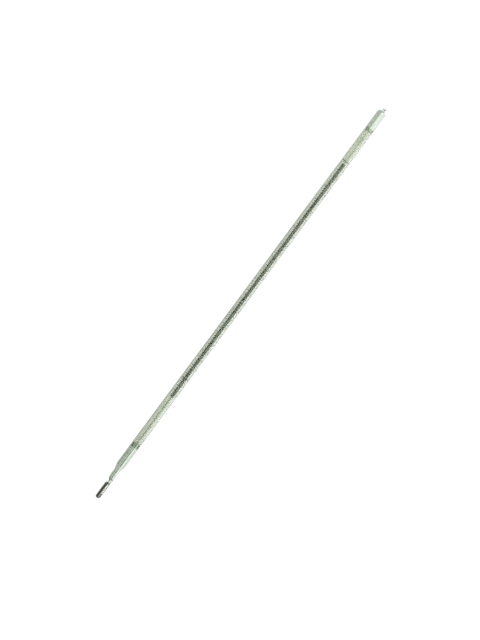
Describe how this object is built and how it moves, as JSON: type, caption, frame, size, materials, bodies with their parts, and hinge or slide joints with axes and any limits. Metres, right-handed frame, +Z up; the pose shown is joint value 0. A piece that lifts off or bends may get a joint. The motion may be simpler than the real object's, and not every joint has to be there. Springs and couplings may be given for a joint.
{
  "type": "laboratory thermometer",
  "caption": "Enclosed-scale glass laboratory thermometer: mercury bulb, capillary tied to a finely graduated opal plate, clear glass sheath and hanging button.",
  "frame": {"origin": "on the bench under the middle of the thermometer's length, directly below the tube's axis", "axes": "+X along the tube from the bulb to the button, +Z up through the face of the scale, and the unit figures on the -Y side"},
  "size_m": [0.53, 0.011, 0.011],
  "materials": {
    "sheath_glass": "clear, pale green in its thickness",
    "bulb_glass": "clear",
    "capillary_glass": "clear",
    "saddle_glass": "dark green where it is thick",
    "button_glass": "clear, fire-polished",
    "mercury": "liquid mirror",
    "opal_plate": "white opal glass, greenish behind the sheath",
    "scale_enamel": "fired enamel",
    "tie_wire": "thin dull wire"
  },
  "bodies": {
    "glass_body": {"mercury_bulb": "bulb_glass", "bulb_mercury": "mercury", "capillary_tube": "capillary_glass", "mercury_thread": "mercury", "lower_saddle": "saddle_glass", "scale_plate": "opal_plate", "degree_marks": "scale_enamel", "upper_saddle": "saddle_glass", "lower_tie_wire": "tie_wire", "upper_tie_wire": "tie_wire", "sheath_tube": "sheath_glass", "glass_button": "button_glass"},
    "mercury_column": {"mercury_column_top": "mercury"}
  },
  "joints": [
    {"name": "mercury_rise", "type": "slide", "parent": "glass_body", "child": "mercury_column", "axis": [1, 0, 0], "range_m": [-0.1129, 0.19758], "deforming": ["mercury_thread"]}
  ]
}
